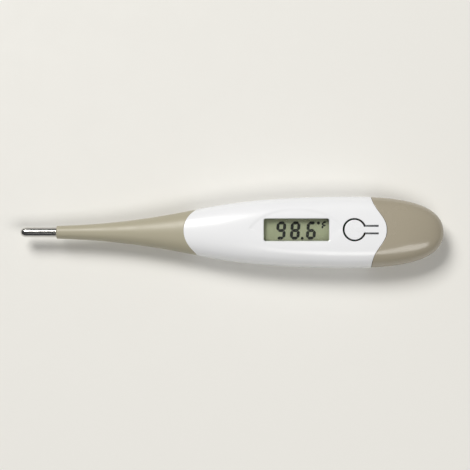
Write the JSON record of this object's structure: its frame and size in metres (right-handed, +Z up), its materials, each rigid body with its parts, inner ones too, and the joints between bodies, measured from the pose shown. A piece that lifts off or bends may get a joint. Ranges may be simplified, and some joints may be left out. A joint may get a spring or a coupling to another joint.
{
  "type": "digital thermometer",
  "caption": "Digital clinical thermometer with a flexible neck, a steel probe tip, a display window, a tongue button and a pull-off battery cap.",
  "frame": {"origin": "middle of the underside: halfway along the length, on the centre plane, on the surface it rests on", "axes": "+X along the length from the steel tip to the battery cap, +Y across the handle, +Z up out of the display"},
  "size_m": [0.138, 0.0232, 0.0126],
  "materials": {
    "white_shell": "glossy moulded white",
    "soft_neck": "satin soft-touch taupe",
    "taupe_cap": "glossy moulded taupe",
    "steel": "polished stainless steel",
    "bead": "glass bead",
    "filling": "filled resin",
    "enamelled_wire": "enamelled copper",
    "lens": "clear acrylic",
    "adhesive": "double-sided tape",
    "display": "grey-green display with dark segments",
    "reflector": "satin foil",
    "grey_plastic": "moulded light grey",
    "dark_rubber": "matte silicone",
    "board": "green solder mask",
    "chip_resin": "black resin drop",
    "ceramic_chip": "fired chip with tinned ends",
    "switch_plastic": "moulded black",
    "buzzer_brass": "rolled brass",
    "buzzer_ceramic": "silvered piezo ceramic",
    "insulated_wire": "red insulation",
    "cell_steel": "nickel-plated steel",
    "contact_plate": "gold-flashed spring strip"
  },
  "bodies": {
    "handle": {"upper_housing": "white_shell", "lower_housing": "white_shell", "neck_root": "soft_neck", "lead_wires": "enamelled_wire", "window_lens": "lens", "lens_adhesive": "adhesive", "display_glass": "display", "display_reflector": "reflector", "display_frame": "grey_plastic", "contact_strip": "dark_rubber", "circuit_board": "board", "controller_chip": "chip_resin", "small_parts": "ceramic_chip", "switch_body": "switch_plastic", "buzzer_disc": "buzzer_brass", "buzzer_ceramic": "buzzer_ceramic", "buzzer_leads": "insulated_wire", "battery_carrier": "grey_plastic", "cap_seal": "dark_rubber", "coin_cell": "cell_steel", "positive_contact": "contact_plate", "negative_contact": "contact_plate"},
    "neck_1": {"neck_link_1": "soft_neck"},
    "neck_2": {"neck_link_2": "soft_neck"},
    "neck_3": {"neck_link_3": "soft_neck"},
    "neck_4": {"neck_link_4": "soft_neck"},
    "neck_5": {"neck_link_5": "soft_neck"},
    "probe": {"neck_link_6": "soft_neck", "steel_tip": "steel", "thermistor": "bead", "tip_filling": "filling"},
    "button": {"power_button": "white_shell"},
    "plunger": {"switch_plunger": "switch_plastic"},
    "cap": {"battery_cap": "taupe_cap"}
  },
  "joints": [
    {"name": "neck_pitch_1", "type": "hinge", "parent": "handle", "child": "neck_1", "pos_m": [-0.024, 0, 0.0063], "axis": [0, 1, 0], "range_deg": [-20, 20], "stiffness_Nm_per_rad": 0.09, "deforming": ["lead_wires"]},
    {"name": "neck_yaw_1", "type": "hinge", "parent": "neck_1", "child": "neck_2", "pos_m": [-0.0295, 0, 0.0063], "axis": [0, 0, 1], "range_deg": [-20, 20], "stiffness_Nm_per_rad": 0.07},
    {"name": "neck_pitch_2", "type": "hinge", "parent": "neck_2", "child": "neck_3", "pos_m": [-0.035, 0, 0.0063], "axis": [0, 1, 0], "range_deg": [-20, 20], "stiffness_Nm_per_rad": 0.045},
    {"name": "neck_yaw_2", "type": "hinge", "parent": "neck_3", "child": "neck_4", "pos_m": [-0.0405, 0, 0.0063], "axis": [0, 0, 1], "range_deg": [-20, 20], "stiffness_Nm_per_rad": 0.045},
    {"name": "neck_pitch_3", "type": "hinge", "parent": "neck_4", "child": "neck_5", "pos_m": [-0.046, 0, 0.0063], "axis": [0, 1, 0], "range_deg": [-20, 20], "stiffness_Nm_per_rad": 0.035},
    {"name": "neck_yaw_3", "type": "hinge", "parent": "neck_5", "child": "probe", "pos_m": [-0.0515, 0, 0.0063], "axis": [0, 0, 1], "range_deg": [-20, 20], "stiffness_Nm_per_rad": 0.035},
    {"name": "switch_press", "type": "slide", "parent": "handle", "child": "plunger", "axis": [0, 0, -1], "range_m": [0, 0.000408]},
    {"name": "button_press", "type": "hinge", "parent": "handle", "child": "button", "pos_m": [0.0474, 0, 0.01225], "axis": [0, -1, 0], "range_deg": [0, 3], "stiffness_Nm_per_rad": 0.05},
    {"name": "cap_pull", "type": "slide", "parent": "handle", "child": "cap", "axis": [1, 0, 0], "range_m": [0, 0.03]}
  ],
  "couplings": [
    {"joint": "neck_pitch_2", "follows": "neck_pitch_1", "ratio": 1},
    {"joint": "neck_pitch_3", "follows": "neck_pitch_1", "ratio": 1},
    {"joint": "neck_yaw_2", "follows": "neck_yaw_1", "ratio": 1},
    {"joint": "neck_yaw_3", "follows": "neck_yaw_1", "ratio": 1},
    {"joint": "button_press", "follows": "switch_press", "rad_per_m": 128.2}
  ]
}
